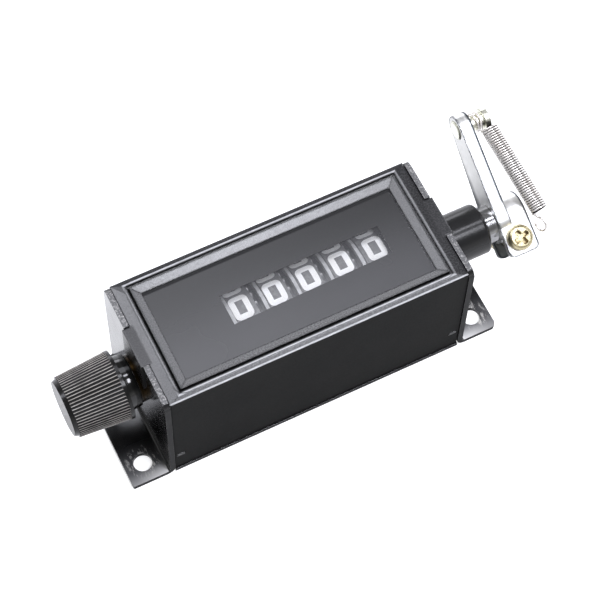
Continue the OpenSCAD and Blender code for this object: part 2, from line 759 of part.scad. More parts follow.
module ratchet_wheel() {
    color("#c2c5c9") difference() {
        union() {
            bar(ratchet_x, ratchet_end + side_gap, 2 * hub_r);
            across(ratchet_x + side_gap, ratchet_end) polygon([for (k = [0 : digits - 1])
                let (a = pawl_tooth + k * stroke)
                each [polar(ratchet_r, a), polar(ratchet_root_r, a)]]);
        }
        bar(ratchet_x - over, ratchet_end + over, reset_d + 2 * run_fit);
    }
}

module pinion_shaft() {
    end = lug_x + lug_t + pinion_proud;
    color("#b9bcc0") bar(-end, end, pinion_shaft_d, pinion_y, pinion_z);
}

// Transfer pinion between wheel i and wheel i + 1
module transfer_pinion(i) {
    x = wheel_x(i) + rim_right + side_gap;
    root_r = pinion_pitch_r - tooth_down;
    color("#d9d6c8") translate([x, pinion_y, pinion_z]) rotate([90, 0, 90]) linear_extrude(pinion_w)
        difference() {
            union() {
                circle(root_r);
                for (k = [0 : pinion_teeth - 1])
                    tooth(pinion_pitch_r, pinion_dir + 180 + (k + 0.5) * 360 / pinion_teeth);
            }
            circle(pinion_shaft_d / 2 + run_fit);
        }
}

module drive_shaft() {
    color("#c6c9cc") difference() {
        bar(plate_x, drive_end, drive_d);
        bar(plate_x - over, tip_end, tip_d + 2 * run_fit);
    }
}

// Disc on the drive shaft: carries the pawl and its spring post, notched for the stop pin
module drive_plate() {
    notch_r = stop_pin_r - stop_pin_d / 2 - 0.4;
    notch_from = stop_dir - stop_margin;
    notch_step = (stroke + 2 * stop_margin) / 4;
    color("#a9adb2") {
        across(plate_x, plate_end) difference() {
            circle(plate_r);
            circle(drive_d / 2 + press_gap);
            translate(pawl_pivot) circle(pawl_pin_d / 2 + press_gap);
            difference() {
                polygon(concat([[0, 0]],
                    [for (k = [0 : 4]) polar(2 * plate_r, notch_from + k * notch_step)]));
                circle(notch_r);
            }
        }
        bar(ratchet_x + 2 * side_gap, plate_x, post_d, post[0], shaft_z + post[1]);
    }
}

module pawl_pin() {
    color("#c2c5c9")
        bar(ratchet_x + side_gap, plate_end, pawl_pin_d, pawl_pivot[0], shaft_z + pawl_pivot[1]);
}

module drive_pawl() {
    tip = polar(ratchet_root_r + pawl_bite, pawl_tooth + pawl_back);
    back = polar(ratchet_r + pawl_rise, pawl_tooth + pawl_back);
    neck = polar(pawl_hub_r, pawl_pivot_dir - 50);
    color("#8f949a") across(ratchet_x + 2 * side_gap, ratchet_end - side_gap) difference() {
        union() {
            translate(pawl_pivot) circle(pawl_hub_r);
            polygon([tip, back, pawl_pivot + neck, pawl_pivot - neck]);
        }
        translate(pawl_pivot) circle(pawl_pin_d / 2 + run_fit);
    }
}

// Leaf that is wrapped round the post on the drive plate and rests on the back of the pawl
module pawl_spring() {
    leaf_t = 0.3;
    wrap_r = post_d / 2 + leaf_t;
    rest = polar(ratchet_r + pawl_rise + 0.55, pawl_tooth + 2 * pawl_back);
    wrap = [for (a = [105 : -15 : -165]) post + polar(wrap_r, a)];
    color("#d4d6d8") across(ratchet_x + 3 * side_gap, ratchet_end - 2 * side_gap) difference() {
        polygon(concat([rest, rest + [0, leaf_t]], wrap));
        translate(post) circle(post_d / 2 + press_gap);
    }
}

// Leaf on the base plate whose end stands in a notch of the ratchet
module click_spring() {
    floor_z = base_t - shaft_z;
    color("#d4d6d8") difference() {
        union() {
            across(click_x - click_foot_w / 2, click_x + click_foot_w / 2)
                translate([click_foot_y, floor_z]) square([click_foot_l, click_t]);
            across(click_x - click_w / 2, click_x + click_w / 2)
                polygon([[click_foot_y, floor_z], click_tip - [click_t, 0], click_tip,
                    [click_foot_y + click_t, floor_z]]);
        }
        translate([click_x, click_rivet_y, 0])
            cylinder(d = click_rivet_d + 2 * press_gap, h = base_t + click_t + over);
    }
}

module click_rivet() {
    color("#c2c5c9") translate([click_x, click_rivet_y, 0]) {
        cylinder(d = click_rivet_d, h = base_t + click_t);
        translate([0, 0, base_t + click_t]) cylinder(d = click_head_d, h = click_head_h);
    }
}

module return_spring() {
    echo(return_spring_gap_mm = tube_gap(return_path, return_wire_d));
    color("#d4d6d8") translate([0, 0, shaft_z]) tube(return_path, return_wire_d);
}

module stop_pin() {
    color("#b9bcc0")
        bar(plate_x - side_gap, lug_x + lug_t, stop_pin_d, stop_place[0], shaft_z + stop_place[1]);
}

module lever_washer() {
    color("#d4d6d8") difference() {
        bar(boss_end + side_gap, lever_x, washer_d);
        bar(boss_end, lever_x + over, drive_d + 2 * press_gap);
    }
}

// A clamp ear: a flat strip in front of the shaft with rounded front corners
module ear() {
    translate([lever_x, -ear_l + ear_corner_r]) square([clamp_l, ear_l - ear_corner_r]);
    translate([lever_x + ear_corner_r, -ear_l]) square([clamp_l - 2 * ear_corner_r, ear_l]);
    for (x = [lever_x + ear_corner_r, clamp_end - ear_corner_r]) translate([x, ear_corner_r - ear_l])
        circle(ear_corner_r);
}

// Lever: tapered arm, and a strip rolled round the shaft that ends in two clamp ears
module drive_lever() {
    bore = drive_d + 2 * press_gap;
    slope = atan(arm_drop / arm_l);
    spread = asin((arm_eye_r - arm_end_r) / norm([arm_l, arm_drop]));
    upper = polar(1, slope + 90 - spread);
    lower = polar(1, slope - 90 + spread);
    stud = [arm_l, arm_drop];
    hub_in = arm_eye_r - tuck;
    end_in = arm_end_r - tuck;
    color("#cfd3d6") lever_frame() difference() {
        union() {
            translate([lever_x, 0, 0]) rotate([90, 0, 90]) linear_extrude(lever_t) {
                circle(arm_eye_r);
                translate(stud) circle(arm_end_r);
                polygon([hub_in * upper, hub_in * lower, stud + end_in * lower, stud + end_in * upper]);
            }
            translate([lever_x, 0, 0]) rotate([90, 0, 90]) linear_extrude(clamp_l) intersection() {
                circle(clamp_r);
                translate([0, -clamp_r]) square(2 * clamp_r);
            }
            for (z = [drive_d / 2, -clamp_r]) translate([0, 0, z]) linear_extrude(strip_t) ear();
        }
        translate([lever_x - over, 0, 0]) rotate([0, 90, 0]) cylinder(d = bore, h = clamp_l + 2 * over);
        translate([screw_x, -screw_out, -2 * clamp_r])
            cylinder(d = screw_d + 2 * press_gap, h = 4 * clamp_r);
        translate([lever_x - over, arm_l, arm_drop]) rotate([0, 90, 0])
            cylinder(d = stud_neck_d + 2 * press_gap, h = lever_t + 2 * over);
    }
}

module clamp_screw() {
    recess_l = 0.62 * screw_head_d;
    recess_w = 0.18 * screw_head_d;
    recess_z = clamp_r + 0.35 * screw_head_h;
    recess_dir = 20;
    shank_l = 2 * clamp_r + nut_t + screw_proud;
    color("#cdb45a") lever_frame() translate([screw_x, -screw_out, 0]) difference() {
        union() {
            translate([0, 0, clamp_r - shank_l]) cylinder(d = screw_d, h = shank_l);
            translate([0, 0, clamp_r]) rotate_extrude() polygon(concat([[0, 0], [screw_head_d / 2, 0]],
                [for (a = [0 : 15 : 90]) [screw_head_d / 2 * (0.7 + 0.3 * cos(a)),
                    screw_head_h * (0.45 + 0.55 * sin(a))]], [[0, screw_head_h]]));
        }
        for (a = [0, 90]) rotate(a + recess_dir) translate([-recess_l / 2, -recess_w / 2, recess_z])
            cube([recess_l, recess_w, screw_head_h]);
    }
}

module clamp_nut() {
    color("#cdb45a") lever_frame() translate([screw_x, -screw_out, -clamp_r - nut_t]) difference() {
        cylinder(d = nut_af / cos(30), h = nut_t, $fn = 6);
        translate([0, 0, -over]) cylinder(d = screw_d + 2 * press_gap, h = nut_t + 2 * over);
    }
}

module spring_stud() {
    neck = stud_neck_d / 2;
    head_x = stud_x + stud_neck_l;
    color("#d8dadc") lever_frame() translate([0, arm_l, arm_drop]) rotate([0, 90, 0])
        rotate_extrude() polygon([
            [0, lever_x - rivet_h], [rivet_d / 2 - rivet_h, lever_x - rivet_h], [rivet_d / 2, lever_x],
            [neck, lever_x], [neck, head_x], [stud_head_d / 2, head_x],
            [stud_head_d / 2, head_x + stud_head_t], [0, head_x + stud_head_t]]);
}

module link_spring() {
    echo(link_spring_gap_mm = tube_gap(link_path, wire_d));
    color("#bdb7b0") lever_frame() tube(link_path, wire_d);
}

left_end_bracket();
right_end_bracket();
base_plate();
cover();
window_panel();
dial_mask();
knob_bush();
drive_bush();
reset_shaft();
spacer_sleeve();
knob_collar();
reset_knob();
for (i = [1 : 5]) number_wheel(i);
ratchet_wheel();
pinion_shaft();
for (i = [1 : 4]) transfer_pinion(i);
drive_shaft();
drive_plate();
pawl_pin();
drive_pawl();
pawl_spring();
click_spring();
click_rivet();
return_spring();
stop_pin();
lever_washer();
drive_lever();
clamp_screw();
clamp_nut();
spring_stud();
link_spring();
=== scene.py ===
"""Looks of a lever-driven machine counter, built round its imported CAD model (metres, feet on z = 0)."""
import json
from math import ceil, cos, pi, radians, sin

import bpy
from mathutils import Matrix, Vector


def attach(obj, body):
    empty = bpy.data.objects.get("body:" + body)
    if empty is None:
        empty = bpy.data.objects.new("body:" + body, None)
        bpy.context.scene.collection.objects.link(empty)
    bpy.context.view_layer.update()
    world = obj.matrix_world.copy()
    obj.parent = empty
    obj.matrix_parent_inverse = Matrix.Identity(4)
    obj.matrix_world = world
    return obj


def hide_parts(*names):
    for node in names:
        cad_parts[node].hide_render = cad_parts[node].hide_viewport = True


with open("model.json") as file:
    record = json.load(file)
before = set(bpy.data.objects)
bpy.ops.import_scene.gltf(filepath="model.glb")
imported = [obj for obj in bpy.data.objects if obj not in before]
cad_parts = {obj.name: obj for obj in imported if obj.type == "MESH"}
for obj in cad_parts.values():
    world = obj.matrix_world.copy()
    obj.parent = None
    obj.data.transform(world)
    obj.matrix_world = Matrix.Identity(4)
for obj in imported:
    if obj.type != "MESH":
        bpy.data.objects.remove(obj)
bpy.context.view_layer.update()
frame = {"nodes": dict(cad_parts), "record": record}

NODES = frame["nodes"]
MM = 0.001

# Width in mm over which a finish goes over into the next one beside it
SOFT = 0.1

# Camera, as fitted to the photograph: place in mm, axes, and focal length in pixels of a 598 px frame
IMAGE_PX = 598
FOCAL_PX = 2140.45
SENSOR_MM = 36.0
CAMERA_AT = Vector((-91.83, -174.84, 412.60)) * MM
RIGHT = Vector((0.8957, -0.4443, 0.0170))
DOWN = Vector((-0.3893, -0.8021, -0.4529))
FORWARD = Vector((0.2148, 0.3991, -0.8914))

# Studio: strength of the even fill, of the ceiling and of the floor's lift where it is seen or mirrored
WORLD_FILL = 0.18
CEILING = 0.3
CEILING_FROM, CEILING_TO = 0.05, 0.45
FLOOR_LIFT = 0.70
MIRROR_LIFT = 0.25
FLOOR_HALF = 3.0
FLOOR_DROP = 0.02 * MM
LAMP_Z = 0.62
LAMP_TINT = (0.965, 0.98, 1.06)

# Shaft and number wheels, mm
SHAFT_Z = 18.7
WHEEL_R = 10.0
WHEEL_PITCH = 7.33
WHEEL_X = [19.2 - WHEEL_PITCH * (4 - i) for i in range(5)]
RIM_LEFT, RIM_W = 3.3, 5.8
PLAIN_BAND = 0.7
TOOTH_TIP_R = 8.55
DIGIT_W, DIGIT_H, STROKE = 4.15, 5.6, 1.22

# Where each wheel's digits sit on it: along the shaft in mm, and turned to the far side
DIGIT_SHIFTS = (-0.44, -0.22, 0.0, 0.17, 0.58)
DIGIT_TURNS = [radians(a) for a in (3.2, 3.5, 4.0, 4.5, 5.3)]
DIGIT_PROUD = 0.03
DIGIT_STEP = radians(36)

# Lever and its stud, mm, in the lever's own plane (Y along the arm)
LEVER_ANGLE = radians(28.7)
ARM_SIDE, CLAMP_SIDE = 50.15, 54.15
ARM_LINE_FROM, ARM_LINE_FULL = 2.5, 4.0
BELOW_CLAMP_FROM, BELOW_CLAMP_FULL = -0.8, -3.0
STUD = Vector((50.15, 20.85, 2.0))
NECK_R, NECK_L = 1.6, 3.2

# Link spring, mm: the hook wraps round the stud's neck, the coils, and the open loop beside their end
WIRE_D, WIRE_SIDES = 0.5, 10
HOOK_WRAPS, WRAP_STEP, HOOK_END = 1.72, 0.95, radians(440)
HOOK_GAP, HOOK_PLAY = 0.3, 0.2
COIL_D = 3.35
SPRING_L = 20.1
COILS = 39
COIL_FROM_HOOK = (0.9, -2.16, 2.2)
LINK_SKEW, LINK_LIFT = radians(7.5), radians(8.6)
LOOP_R, LOOP_TURN = 1.5, radians(70)
LOOP_AHEAD, LOOP_ASIDE = 2.6, 1.45
LOOP_START, LOOP_SWEEP = radians(-60), radians(275)
HOOK_STEPS, COIL_STEPS, LOOP_STEPS = 60, 22, 36
HOOK_BEND, HOOK_BEND_STEPS = 1.1, 10
LOOP_BEND, LOOP_BEND_STEPS = 0.7, 8

# Knob and its collar, mm along the shaft from the middle
COLLAR_FROM, COLLAR_TO, COLLAR_R, COLLAR_BORE_R = -37.95, -35.45, 5.9, 2.51
COLLAR_EASE, COLLAR_TAPER = 0.25, 0.18
EASE_STEPS, COLLAR_SIDES = 4, 128
KNOB_FLUTES = 60
FLUTES_FROM, FLUTES_TO = -49.65, -38.75

# Printed sheet, drawn at the height where the clear panel above it makes it seem to lie, mm
PRINT_L, PRINT_W, PRINT_T = 55.5, 20.8, 0.15
PRINT_TOP = 31.0
WINDOW = ((-13.9, -3.45), (21.9, -2.77), (21.9, 4.0), (-13.9, 3.55))

# The clear panel is almost open, its thin haze a painted reflection; the field's shine lies on the print
# under it
PANEL_ALPHA = 0.10

# Cover: the raised frame, the groove round it, the ridge beside the groove and the near rim, mm
FRAME_L, FRAME_W = 59.4, 24.7
GROOVE_B = 0.5
RIDGE_FROM, RIDGE_TO, RIDGE_SOFT = 0.62, 1.22, 0.2
COVER_Y = 14.5
RIM_FROM, RIM_TO = 0.2, 0.45
FACE_SLACK = 0.01

# Pressed sheet, mm: wall tops, feet with their holes, worn patches and painted sheen, snap tabs.
# FOOT_START, SCUFF and CORNER_SHEEN_X are measured from the hole
SHEET_T = 1.2
WALL_TOP = 32.4
HOLE_X, HOLE_Y = 38.7, 10.5
FOOT_START = -4.6
FOOT_EDGE_Y = 15.0
# The feet's painted sheen: a pale patch along their near edges, and a band lightening them outwards
CORNER_SHEEN_W, CORNER_SHEEN_X = 3.5, 4.0
DULL_SHEEN_FROM_Y = 5.0
SCUFF_FROM, SCUFF_TO = 2.4, 4.2
SNAP_FROM, SNAP_TO, SNAP_END_X = 6.2, 7.4, 32.8


# Materials

class Graph:
    """A material's node tree with short calls for the nodes that the finishes share."""

    def __init__(self, name):
        self.material = bpy.data.materials.new(name)
        self.material.use_nodes = True
        self.tree = self.material.node_tree
        self.bsdf = self.tree.nodes["Principled BSDF"]
        self.place = self.add("ShaderNodeTexCoord").outputs["Object"]

    def add(self, kind, **settings):
        node = self.tree.nodes.new(kind)
        for key, value in settings.items():
            setattr(node, key, value)
        return node

    def link(self, value, socket):
        """Links an output, or sets a plain value."""
        if hasattr(value, "is_output"):
            self.tree.links.new(value, socket)
        else:
            socket.default_value = value

    def set(self, **values):
        """Links or sets sockets of the shader, named with _ for each space."""
        for key, value in values.items():
            self.link(value, self.bsdf.inputs[key.replace("_", " ")])

    def math(self, operation, a, b=0.0):
        node = self.add("ShaderNodeMath", operation=operation)
        self.link(a, node.inputs[0])
        self.link(b, node.inputs[1])
        return node.outputs[0]

    def times(self, product, *others):
        for value in others:
            product = self.math("MULTIPLY", product, value)
        return product

    def size(self, value):
        return self.math("ABSOLUTE", value)

    def length(self, a, b):
        """Length of the flat vector (a, b)."""
        return self.math("SQRT", self.math("ADD", self.times(a, a), self.times(b, b)))

    def vectors(self, operation, a, b):
        """A vector node's outputs: Vector, or Value for a plain number."""
        node = self.add("ShaderNodeVectorMath", operation=operation)
        self.link(a, node.inputs[0])
        self.link(b, node.inputs[1])
        return node.outputs

    def stretched(self, scale):
        node = self.add("ShaderNodeMapping")
        self.link(self.place, node.inputs["Vector"])
        node.inputs["Scale"].default_value = scale
        return node.outputs["Vector"]

    def noise(self, per_metre, detail=3.0, roughness=0.55, vector=None):
        node = self.add("ShaderNodeTexNoise")
        self.link(vector or self.place, node.inputs["Vector"])
        node.inputs["Scale"].default_value = per_metre
        node.inputs["Detail"].default_value = detail
        node.inputs["Roughness"].default_value = roughness
        return node.outputs["Fac"]

    def turning_marks(self, per_metre):
        """Fine rings round the shaft."""
        return self.noise(per_metre, 3, 0.6, self.stretched((1.0, 0.02, 0.02)))

    def between(self, value, low, high, to_low=0.0, to_high=1.0):
        """Goes smoothly from to_low to to_high as the value goes from low to high."""
        node = self.add("ShaderNodeMapRange", interpolation_type="SMOOTHSTEP")
        self.link(value, node.inputs["Value"])
        node.inputs["From Min"].default_value = low
        node.inputs["From Max"].default_value = high
        node.inputs["To Min"].default_value = to_low
        node.inputs["To Max"].default_value = to_high
        return node.outputs["Result"]

    def between_mm(self, value, low, high, to_low=0.0, to_high=1.0):
        return self.between(value, low * MM, high * MM, to_low, to_high)

    def spread(self, noise, to_low=0.0, to_high=1.0):
        """A noise's usual range, spread from to_low to to_high."""
        return self.between(noise, 0.3, 0.7, to_low, to_high)

    def mix(self, factor, a, b):
        node = self.add("ShaderNodeMix", data_type="RGBA")
        self.link(factor, node.inputs["Factor"])
        self.link(a, node.inputs[6])
        self.link(b, node.inputs[7])
        return node.outputs[2]

    def axis(self, name):
        """One coordinate of the point."""
        node = self.add("ShaderNodeSeparateXYZ")
        self.link(self.place, node.inputs[0])
        return node.outputs[name]

    def facing(self, name):
        """One coordinate of the surface's normal."""
        node = self.add("ShaderNodeSeparateXYZ")
        self.link(self.add("ShaderNodeNewGeometry").outputs["Normal"], node.inputs[0])
        return node.outputs[name]

    def rounded(self, radius):
        """The normal with edges rounded to a radius in mm."""
        soft = self.add("ShaderNodeBevel", samples=6)
        soft.inputs["Radius"].default_value = radius * MM
        return soft.outputs["Normal"]

    def edges(self, radius, low=0.03, high=0.25):
        """1 along sharp edges, falling to 0 a radius in mm away from them."""
        true_normal = self.add("ShaderNodeNewGeometry").outputs["Normal"]
        alike = self.vectors("DOT_PRODUCT", self.rounded(radius), true_normal)["Value"]
        return self.between(self.math("SUBTRACT", 1.0, alike), low, high)

    def hollow(self, distance, low=0.35, high=0.9):
        """1 deep in a piece's own hollows, 0 in the open."""
        shade = self.add("ShaderNodeAmbientOcclusion", samples=8, only_local=True)
        shade.inputs["Distance"].default_value = distance * MM
        return self.between(shade.outputs["AO"], low, high, 1.0, 0.0)

    def bump(self, height, distance, strength=1.0, normal=None):
        """The normal with bumps of a height in mm."""
        node = self.add("ShaderNodeBump")
        node.inputs["Strength"].default_value = strength
        node.inputs["Distance"].default_value = distance * MM
        self.link(height, node.inputs["Height"])
        if normal:
            self.link(normal, node.inputs["Normal"])
        return node.outputs["Normal"]


def grey(value, tint=(1.0, 1.0, 1.0)):
    return (value * tint[0], value * tint[1], value * tint[2], 1.0)


def black_enamel(name, coat):
    """Stove enamel on pressed steel: fine peel, worn edges, speckled wall tops, scuffed feet with a
    painted sheen.
    """
    g = Graph(name)
    height, across = g.axis("Z"), g.size(g.axis("Y"))
    from_x = g.math("SUBTRACT", g.size(g.axis("X")), HOLE_X * MM)
    from_y = g.math("SUBTRACT", across, HOLE_Y * MM)
    upward = g.between(g.facing("Z"), 0.8, 0.95)
    front = g.between(g.size(g.facing("Y")), 0.8, 0.95)

    # Where things are
    top = g.times(upward, g.between_mm(height, WALL_TOP - 2 * SOFT, WALL_TOP - SOFT))
    foot = g.times(upward, g.between_mm(height, 2 * SHEET_T, 2.2 * SHEET_T, 1.0, 0.0),
                   g.between_mm(from_x, FOOT_START, FOOT_START + 2 * SOFT))
    round_hole = g.between_mm(g.length(from_x, from_y), SCUFF_FROM, SCUFF_TO, 1.0, 0.0)
    near_edge = g.between_mm(g.axis("Y"), -FOOT_EDGE_Y, CORNER_SHEEN_W - FOOT_EDGE_Y, 1.0, 0.0)
    inside = g.between_mm(g.size(g.axis("X")), SNAP_END_X - SOFT, SNAP_END_X, 1.0, 0.0)
    # Painted highlight: a lighter band across the snap lugs on the front faces
    snap = g.times(front, inside, g.between_mm(height, SNAP_FROM, SNAP_FROM + SOFT),
                   g.between_mm(height, SNAP_TO - SOFT, SNAP_TO, 1.0, 0.0))

    # Wear, and painted sheen on the feet
    grit = g.between(g.noise(2600, 5, 0.75), 0.50, 0.62)
    scuff = g.between(g.noise(1500, 4, 0.7, g.stretched((1.0, 0.35, 1.0))), 0.52, 0.61)
    worn = g.math("MAXIMUM", g.times(top, grit, 0.6), g.times(foot, round_hole, scuff))
    lightened = g.times(g.edges(0.25), g.between(g.noise(700, 3), 0.35, 0.7), 0.45)
    # Painted sheen: the feet turn lighter and rougher towards their near and far edges
    painted_shading = g.times(foot, g.between_mm(across, DULL_SHEEN_FROM_Y, FOOT_EDGE_Y, 0.0, 0.8))
    # Painted sheen: a pale patch along each foot's near edge, strongest next to the wall
    corner = g.times(foot, near_edge, g.between_mm(from_x, -CORNER_SHEEN_X, CORNER_SHEEN_X, 1.0, 0.25))

    # Colour and surface
    paint = g.mix(g.spread(g.noise(120, 3)), grey(0.008), grey(0.012, (1, 1, 1.08)))
    # The wall tops' worn grey, and the feet's painted sheen
    paint = g.mix(g.math("MAXIMUM", g.times(top, 0.6), painted_shading), paint, grey(0.15, (1, 1, 1.04)))
    paint = g.mix(corner, paint, grey(0.80, (1, 0.99, 0.98)))
    paint = g.mix(snap, paint, grey(0.10))
    paint = g.mix(lightened, paint, grey(0.25))
    colour = g.mix(worn, paint, grey(0.60, (1, 0.98, 0.95)))
    rough = g.spread(g.noise(260, 4), 0.15, 0.22)
    rough = g.math("ADD", rough, g.times(g.math("MAXIMUM", top, painted_shading), 0.25))
    rough = g.math("ADD", rough, g.times(front, 0.6))
    peel = g.bump(g.noise(1100, 2), 0.006, 0.5, g.rounded(0.18))
    bumpy = g.bump(g.times(g.noise(2600, 3), top), 0.05, 1.0, peel)
    g.set(Base_Color=colour, Roughness=rough, Metallic=g.times(worn, 0.7), Normal=bumpy,
          Specular_IOR_Level=0.5, Coat_Weight=coat, Coat_Roughness=0.1)
    return g.material


def cover_plastic(name, shine):
    """Black moulded cover: dull sides, satin tops painted lighter, painted highlight on ridge and near
    rim.
    """
    g = Graph(name)
    up = g.between(g.facing("Z"), 0.2, 0.8)
    front = g.between(g.size(g.facing("Y")), 0.6, 0.9)
    off_end = g.math("SUBTRACT", g.size(g.axis("X")), FRAME_L / 2 * MM)
    off_side = g.math("SUBTRACT", g.size(g.axis("Y")), FRAME_W / 2 * MM)
    off_frame = g.math("MAXIMUM", off_end, off_side)
    long_side = g.between_mm(g.math("SUBTRACT", off_frame, off_side), 0.0, 0.05, 1.0, 0.3)
    ridge = g.times(g.between_mm(off_frame, RIDGE_FROM, RIDGE_FROM + RIDGE_SOFT),
                    g.between_mm(off_frame, RIDGE_TO - RIDGE_SOFT, RIDGE_TO, 1.0, 0.0), long_side)
    rim = g.between_mm(g.axis("Y"), RIM_FROM - COVER_Y, RIM_TO - COVER_Y, 1.0, 0.0)
    # Painted highlight: a pale band along the ridge, fainter at the ends, and along the near rim
    lightened = g.times(g.math("MAXIMUM", ridge, rim), up, g.between(g.noise(500, 3), 0.2, 0.6, 0.75, 1.0))
    grain = g.noise(2400, 3, 0.6)
    cloud = g.spread(g.noise(60, 3))
    side = g.mix(cloud, grey(0.005), grey(0.008, (1, 1, 0.95)))
    # Painted light: faces that look up are given a lighter colour than the sides
    upper = g.mix(cloud, grey(0.022, (1, 1, 1.06)), grey(0.030, (1, 1, 1.07)))
    g.set(Base_Color=g.mix(lightened, g.mix(up, side, upper), grey(0.50, (1, 1, 1.03))),
          Roughness=g.math("ADD", g.spread(grain, 0.24, 0.30), g.times(front, 0.6)),
          Specular_IOR_Level=shine, Normal=g.bump(grain, 0.003, 0.3, g.rounded(0.5)))
    return g.material


def groove_shade():
    """Painted shade: a dark, dull, mottled finish on the bottom and sides of the groove round the frame.
    """
    g = Graph("groove_shade")
    dust = g.between(g.noise(900, 4), 0.45, 0.75)
    g.set(Base_Color=g.mix(dust, grey(0.003), grey(0.010)), Specular_IOR_Level=0.1,
          Roughness=g.spread(g.noise(700, 2), 0.7, 0.9))
    return g.material


def in_groove(face):
    """Whether a face of the cover is in the groove's near side or left end."""
    x, y, z = (c / MM for c in face.center)
    off_frame = max(abs(x) - FRAME_L / 2, abs(y) - FRAME_W / 2)
    return (x < FRAME_L / 2 and y < FRAME_W / 2 and z > 0.9 * WALL_TOP
            and -FACE_SLACK < off_frame < GROOVE_B + FACE_SLACK)


def on_far_shoulder(face):
    return face.center.y > (FRAME_W / 2 + GROOVE_B) * MM and face.normal.z > 0.5


def towards_far_side(g):
    """0 at the field's near side, 1 at its far side."""
    return g.between_mm(g.axis("Y"), -PRINT_W / 2, PRINT_W / 2)


def clear_panel():
    """Clear panel with a painted reflection: a thin, faintly clouded pale haze that fades to the far
    side.
    """
    g = Graph("clear_panel")
    near = g.mix(g.spread(g.noise(25, 2)), grey(0.52, (1, 1, 1.04)), grey(0.57, (1, 1, 1.06)))
    g.set(Base_Color=g.mix(towards_far_side(g), near, grey(0.20, (1, 1, 1.04))),
          Roughness=g.spread(g.noise(40, 2), 0.46, 0.54), Alpha=PANEL_ALPHA)
    return g.material


def mask_print():
    """Dark grey print under the panel, with painted shade that darkens it a little to the far side."""
    g = Graph("mask_print")
    near = g.mix(g.spread(g.noise(70, 3)), grey(0.019, (1, 1, 1.04)), grey(0.024, (1, 1, 1.06)))
    g.set(Base_Color=g.mix(towards_far_side(g), near, grey(0.010, (1, 1, 1.04))),
          Roughness=g.spread(g.noise(40, 2), 0.24, 0.28))
    return g.material


def brass():
    """Turned brass, painted almost black with faint stains, as a reflection of the dark parts round it.
    """
    g = Graph("brass_turned")
    rings = g.turning_marks(2600)
    stain = g.between(g.noise(420, 4), 0.35, 0.7)
    # Painted reflection: near-black brass colours, mottled
    g.set(Base_Color=g.mix(stain, grey(0.022, (1, 0.62, 0.22)), grey(0.008, (1, 0.62, 0.30))),
          Metallic=1.0, Roughness=g.spread(rings, 0.22, 0.36), Normal=g.bump(rings, 0.006, 0.5))
    return g.material


def turned_black(name, low, high, shine, tone):
    """Black turned ring: light turning marks round the shaft, rubbed edges."""
    g = Graph(name)
    rings = g.turning_marks(1900)
    edge = g.times(g.edges(0.2), g.between(g.noise(600, 3), 0.4, 0.7), 0.3)
    body = g.mix(g.spread(g.noise(150, 3)), grey(tone), grey(tone * 1.5, (1, 1, 1.05)))
    g.set(Base_Color=g.mix(edge, body, grey(0.12)), Roughness=g.spread(rings, low, high),
          Specular_IOR_Level=shine, Normal=g.bump(rings, 0.003, 0.4))
    return g.material


def knob_plastic():
    """Fluted knob: worn crests with a painted highlight, painted shade in the flutes, polished rim, end
    painted lighter.
    """
    g = Graph("knob_plastic")
    turn = g.math("ARCTAN2", g.axis("Y"), g.math("SUBTRACT", g.axis("Z"), SHAFT_Z * MM))
    wave = g.math("COSINE", g.times(turn, float(KNOB_FLUTES)))
    along = g.axis("X")
    fluted = g.times(g.between_mm(along, FLUTES_FROM, FLUTES_FROM + SOFT),
                     g.between_mm(along, FLUTES_TO, FLUTES_TO + SOFT, 1.0, 0.0))
    # Painted shade darkens the flutes; a painted highlight, broken by noise, lightens the worn crests
    flute = g.times(g.between(wave, -0.75, -0.1), fluted)
    crest = g.times(g.between(wave, -0.92, -0.6, 1.0, 0.0), fluted)
    crest_wear_and_highlight = g.times(crest, g.between(g.noise(420, 4), 0.25, 0.65, 0.55, 1.0))
    # Painted light: the end face is lighter than the rest of the knob
    end = g.between(g.facing("X"), -0.95, -0.85, 1.0, 0.0)
    body = g.mix(end, grey(0.008), grey(0.05, (1, 1, 1.05)))
    body = g.mix(flute, body, grey(0.003))
    rough = g.math("ADD", g.spread(g.noise(1300, 3), 0.14, 0.22), g.times(flute, 0.4))
    g.set(Base_Color=g.mix(crest_wear_and_highlight, body, grey(0.50, (1, 0.94, 0.87))), Roughness=rough,
          Specular_IOR_Level=0.3, Normal=g.bump(g.noise(2200, 2), 0.004, 0.5))
    return g.material


def wheel_plastic():
    """Dark number wheel with a worn pale band left of the digits, and painted light on its tooth ring at
    its right.
    """
    g = Graph("wheel_plastic")
    along = g.math("SUBTRACT", g.axis("X"), (WHEEL_X[0] - RIM_LEFT) * MM)
    along = g.math("FLOORED_MODULO", along, WHEEL_PITCH * MM)
    out = g.length(g.math("SUBTRACT", g.axis("Z"), SHAFT_Z * MM), g.axis("Y"))
    on_band = g.between_mm(along, PLAIN_BAND, PLAIN_BAND + 0.06, 1.0, 0.0)
    # Painted light: the tooth ring in the shaded gap between wheels is pale, palest at the tips
    teeth_painted_light = g.times(g.between_mm(along, RIM_W + 0.02, RIM_W + 0.06),
                       g.between_mm(out, TOOTH_TIP_R - 0.5, TOOTH_TIP_R - 0.1, 0.6, 1.0))
    fine = g.noise(1600, 4, 0.6)
    dust = g.between(g.noise(900, 4, 0.65), 0.4, 0.75)
    body = g.mix(dust, grey(0.15), grey(0.22))
    pale = g.mix(g.between(g.noise(500, 3), 0.35, 0.7), grey(0.42), grey(0.58))
    g.set(Base_Color=g.mix(g.math("MAXIMUM", on_band, teeth_painted_light), body, pale),
          Roughness=g.spread(fine, 0.26, 0.36), Normal=g.bump(fine, 0.006, 0.5))
    return g.material


def white_print(name, value):
    """White print or plastic, faintly clouded."""
    g = Graph(name)
    fine = g.noise(2200, 3)
    cloud = g.spread(g.noise(300, 3))
    g.set(Base_Color=g.mix(cloud, grey(value), grey(value * 0.92, (1, 0.99, 0.96))),
          Roughness=g.spread(fine, 0.42, 0.58), Normal=g.bump(fine, 0.005, 0.4))
    return g.material


